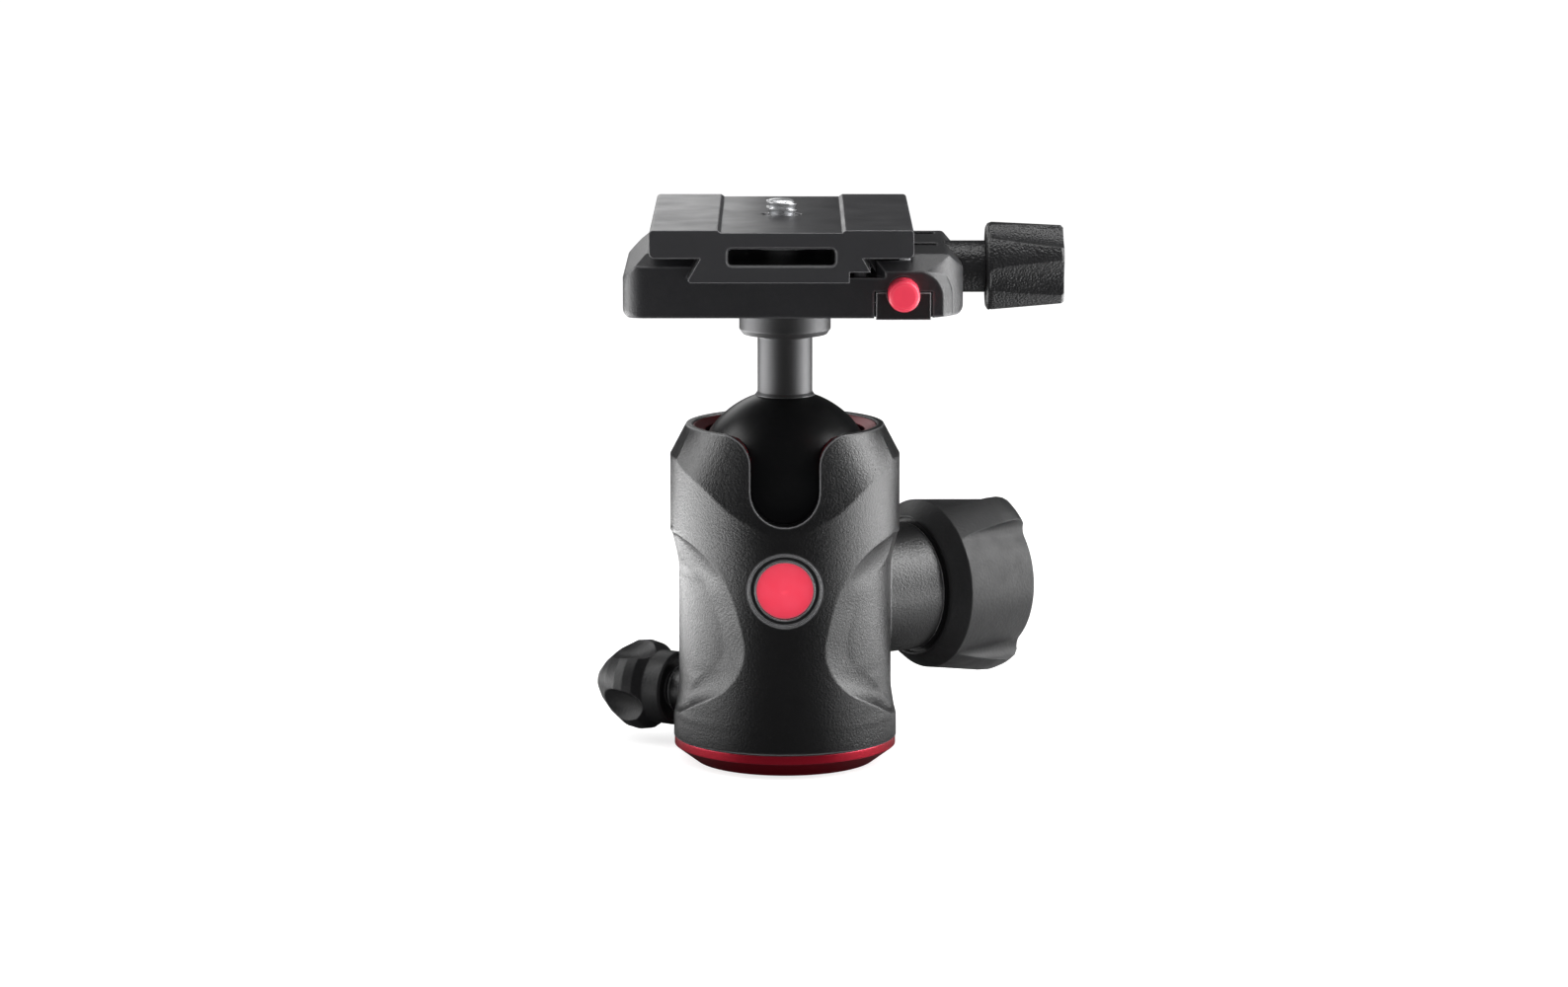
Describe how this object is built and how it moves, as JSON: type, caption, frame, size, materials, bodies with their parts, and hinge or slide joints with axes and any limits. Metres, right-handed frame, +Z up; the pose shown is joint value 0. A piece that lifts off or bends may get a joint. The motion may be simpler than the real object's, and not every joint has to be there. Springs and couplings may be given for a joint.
{
  "type": "tripod ball head",
  "caption": "Compact ball head with a notched housing, ball lock and pan lock knobs, and a screw clamp that holds a dovetail quick release plate.",
  "frame": {"origin": "mouth of the tripod thread, on the pan axis at the underside of the base", "axes": "+Z up along the pan axis, -Y to the front where the notch is, +X towards the clamp's knob"},
  "size_m": [0.0988, 0.0804, 0.1191],
  "materials": {
    "black_coat": "fine matt powder coat",
    "red_anodised": "satin red anodised",
    "black_anodised": "satin black anodised",
    "grey_anodised": "satin grey anodised",
    "black_rubber": "matt soft touch",
    "black_plastic": "fine grained",
    "red_plastic": "semi gloss",
    "steel": "machined",
    "brass": "machined",
    "bearing_plastic": "smooth"
  },
  "bodies": {
    "base": {"base_ring": "red_anodised", "pan_spindle": "black_anodised", "base_screws": "steel", "thread_bush": "steel", "pan_washer": "steel", "pan_bolt": "steel"},
    "housing": {"housing": "black_coat", "race_ring": "red_anodised", "badge_bezel": "black_plastic", "badge_disc": "red_plastic", "lock_bush": "brass", "pan_bush": "brass"},
    "ball": {"ball": "black_anodised"},
    "stem": {"stem": "grey_anodised"},
    "clamp": {"clamp_body": "black_coat", "button_block": "black_plastic", "clamp_bolt": "steel", "guide_rods": "steel", "clamp_sleeve": "black_anodised"},
    "jaw": {"clamp_jaw": "black_anodised"},
    "clamp_knob": {"clamp_knob": "black_plastic", "clamp_knob_cap": "black_plastic", "clamp_screw": "steel"},
    "plate": {"quick_plate": "black_anodised", "screw_clip": "steel"},
    "camera_screw": {"camera_screw": "steel"},
    "safety_button": {"safety_button": "red_plastic", "button_slide": "black_plastic"},
    "safety_pin": {"safety_pin": "steel"},
    "ball_cup": {"ball_cup": "bearing_plastic", "lock_piston": "steel"},
    "lock_wedge": {"lock_wedge": "steel"},
    "lock_knob": {"lock_knob": "black_rubber", "lock_knob_cap": "black_plastic", "lock_screw": "steel"},
    "pan_shoe": {"pan_shoe": "bearing_plastic"},
    "pan_knob": {"pan_knob": "black_rubber", "pan_screw": "steel"}
  },
  "joints": [
    {"name": "pan", "type": "hinge", "parent": "base", "child": "housing", "pos_m": [0, 0, 0.0118], "axis": [0, 0, 1], "continuous": true},
    {"name": "ball_lean", "type": "hinge", "parent": "housing", "child": "ball", "pos_m": [0, 0, 0.0597], "axis": [0, 1, 0], "range_deg": [-28, 28]},
    {"name": "ball_tilt", "type": "hinge", "parent": "ball", "child": "stem", "pos_m": [0, 0, 0.0597], "axis": [1, 0, 0], "range_deg": [-28, 90]},
    {"name": "ball_turn", "type": "hinge", "parent": "stem", "child": "clamp", "pos_m": [0, 0, 0.0597], "axis": [0, 0, 1], "continuous": true},
    {"name": "plate_slide", "type": "slide", "parent": "clamp", "child": "plate", "axis": [0, 1, 0], "range_m": [-0.008, 0.008]},
    {"name": "camera_screw_turn", "type": "hinge", "parent": "plate", "child": "camera_screw", "pos_m": [-0.0007, 0, 0.11], "axis": [0, 0, 1], "continuous": true},
    {"name": "jaw_slide", "type": "slide", "parent": "clamp", "child": "jaw", "axis": [1, 0, 0], "range_m": [0, 0.002]},
    {"name": "clamp_knob_turn", "type": "hinge", "parent": "clamp", "child": "clamp_knob", "pos_m": [0.0364, 0, 0.1049], "axis": [1, 0, 0], "range_deg": [0, 900]},
    {"name": "button_press", "type": "slide", "parent": "clamp", "child": "safety_button", "axis": [0, 1, 0], "range_m": [0, 0.002], "stiffness_N_per_m": 400, "springref_m": -0.001},
    {"name": "pin_drop", "type": "slide", "parent": "clamp", "child": "safety_pin", "axis": [0, 0, -1], "range_m": [0, 0.002]},
    {"name": "wedge_slide", "type": "slide", "parent": "housing", "child": "lock_wedge", "axis": [0.8192, 0.5736, 0], "range_m": [0, 0.00075]},
    {"name": "lock_knob_turn", "type": "hinge", "parent": "lock_wedge", "child": "lock_knob", "pos_m": [0, 0, 0.0336], "axis": [0.8192, 0.5736, 0], "range_deg": [0, 180]},
    {"name": "cup_drop", "type": "slide", "parent": "housing", "child": "ball_cup", "axis": [0, 0, -1], "range_m": [0, 0.00025]},
    {"name": "pan_shoe_slide", "type": "slide", "parent": "housing", "child": "pan_shoe", "axis": [-0.848, 0.5299, 0], "range_m": [0, 0.0005]},
    {"name": "pan_knob_turn", "type": "hinge", "parent": "pan_shoe", "child": "pan_knob", "pos_m": [0, 0, 0.0118], "axis": [-0.848, 0.5299, 0], "range_deg": [0, 180]}
  ],
  "couplings": [
    {"joint": "clamp_knob_turn", "follows": "jaw_slide", "rad_per_m": 7853.9},
    {"joint": "pin_drop", "follows": "button_press", "ratio": 1},
    {"joint": "lock_knob_turn", "follows": "wedge_slide", "rad_per_m": 4188.7},
    {"joint": "cup_drop", "follows": "wedge_slide", "ratio": 0.33333},
    {"joint": "pan_knob_turn", "follows": "pan_shoe_slide", "rad_per_m": 6283.1}
  ]
}
